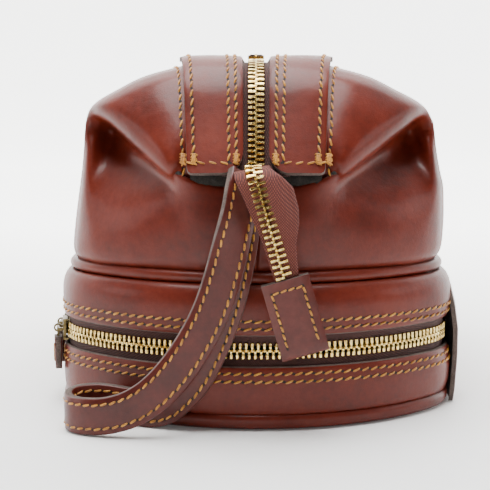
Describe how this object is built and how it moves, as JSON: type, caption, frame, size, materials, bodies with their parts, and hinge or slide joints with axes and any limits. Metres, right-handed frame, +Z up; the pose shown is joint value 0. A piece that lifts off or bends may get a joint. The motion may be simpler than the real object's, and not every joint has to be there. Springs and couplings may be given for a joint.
{
  "type": "shaving kit bag",
  "caption": "Double-compartment leather wash bag: zipped tray below, framed zip-mouth bag above, looped wrist strap and a loose zip tail with a tab.",
  "frame": {"origin": "on the floor, under the middle of the base", "axes": "+X right as seen from the near end (the hinge side), +Y along the length toward the far end, +Z up"},
  "size_m": [0.1614, 0.2691, 0.1422],
  "materials": {
    "leather": "glossy",
    "board": "matt",
    "lining": "matt",
    "zip_tape": "woven",
    "brass": "polished",
    "steel": "satin"
  },
  "bodies": {
    "tray": {"base_panel": "leather", "base_board": "board", "tray_wall": "leather", "tray_lining": "lining", "tray_zip_tape": "zip_tape", "tray_zip_teeth": "brass", "back_panel_lower": "leather"},
    "upper_bag": {"back_panel_upper": "leather", "lid_wall": "leather", "lid_lining": "lining", "lid_zip_tape": "zip_tape", "lid_zip_teeth": "brass", "divider_board": "board", "middle_piping": "leather", "body_wall": "leather", "body_lining": "lining", "near_end_panel": "leather", "far_end_panel": "leather", "near_left_gusset": "leather", "near_right_gusset": "leather", "far_left_gusset": "leather", "far_right_gusset": "leather", "left_shoulder": "leather", "right_shoulder": "leather", "near_pivot": "brass", "far_pivot": "brass", "strap_stud": "brass"},
    "left_mouth": {"left_band": "leather", "left_facing": "lining", "left_frame": "steel", "left_zip_tape": "zip_tape", "left_zip_teeth": "brass"},
    "right_mouth": {"right_band": "leather", "right_facing": "lining", "right_frame": "steel", "right_zip_tape": "zip_tape", "right_zip_teeth": "brass"},
    "top_slider": {"top_slider": "brass"},
    "top_pull": {"top_pull_link": "brass", "top_pull": "leather"},
    "zip_tail": {"tail_tape": "zip_tape", "tail_teeth": "brass", "tail_tab": "leather"},
    "wrist_strap": {"strap_face": "leather", "strap_backing": "leather"},
    "side_slider": {"side_slider": "brass"},
    "side_pull": {"side_pull_link": "brass", "side_pull": "leather"},
    "corner_slider": {"corner_slider": "brass"},
    "corner_pull": {"corner_pull_link": "brass", "corner_pull": "leather"}
  },
  "joints": [
    {"name": "lid_hinge", "type": "hinge", "parent": "tray", "child": "upper_bag", "pos_m": [0.0796, 0, 0.03], "axis": [0, 1, 0], "range_deg": [0, 100], "deforming": ["tray_zip_teeth", "lid_zip_teeth"]},
    {"name": "left_mouth_hinge", "type": "hinge", "parent": "upper_bag", "child": "left_mouth", "pos_m": [0, 0, 0.086], "axis": [0, -1, 0], "range_deg": [0, 50], "deforming": ["near_end_panel", "far_end_panel", "near_left_gusset", "near_right_gusset", "far_left_gusset", "far_right_gusset", "left_shoulder", "right_shoulder", "body_lining", "left_zip_teeth", "right_zip_teeth"]},
    {"name": "right_mouth_hinge", "type": "hinge", "parent": "upper_bag", "child": "right_mouth", "pos_m": [0, 0, 0.086], "axis": [0, 1, 0], "range_deg": [0, 50], "deforming": ["near_end_panel", "far_end_panel", "near_left_gusset", "near_right_gusset", "far_left_gusset", "far_right_gusset", "left_shoulder", "right_shoulder", "body_lining", "left_zip_teeth", "right_zip_teeth"]},
    {"name": "top_slider_slide", "type": "slide", "parent": "right_mouth", "child": "top_slider", "axis": [0, -1, 0], "range_m": [0, 0.16], "deforming": ["left_zip_teeth", "right_zip_teeth"]},
    {"name": "top_pull_hinge", "type": "hinge", "parent": "top_slider", "child": "top_pull", "pos_m": [0, 0.08, 0.1405], "axis": [1, 0, 0], "range_deg": [0, 160]},
    {"name": "zip_tail_hinge", "type": "hinge", "parent": "upper_bag", "child": "zip_tail", "pos_m": [0, -0.1282, 0.0976], "axis": [-1, 0, 0], "range_deg": [0, 80]},
    {"name": "wrist_strap_hinge", "type": "hinge", "parent": "upper_bag", "child": "wrist_strap", "pos_m": [-0.006, -0.129, 0.086], "axis": [0, 1, 0], "range_deg": [0, 65]},
    {"name": "side_slider_slide", "type": "slide", "parent": "tray", "child": "side_slider", "axis": [0, 1, 0], "range_m": [0, 0.13], "deforming": ["tray_zip_teeth", "lid_zip_teeth"]},
    {"name": "side_pull_hinge", "type": "hinge", "parent": "side_slider", "child": "side_pull", "pos_m": [-0.08025, -0.0695, 0.03], "axis": [0, 1, 0], "range_deg": [0, 150]},
    {"name": "corner_slider_turn", "type": "hinge", "parent": "tray", "child": "corner_slider", "pos_m": [-0.0455, -0.07608, 0.03], "axis": [0, 0, 1], "range_deg": [0, 24], "deforming": ["tray_zip_teeth", "lid_zip_teeth"]},
    {"name": "corner_pull_hinge", "type": "hinge", "parent": "corner_slider", "child": "corner_pull", "pos_m": [-0.07972, -0.08211, 0.03], "axis": [-0.1736, 0.9848, 0], "range_deg": [0, 150]}
  ]
}
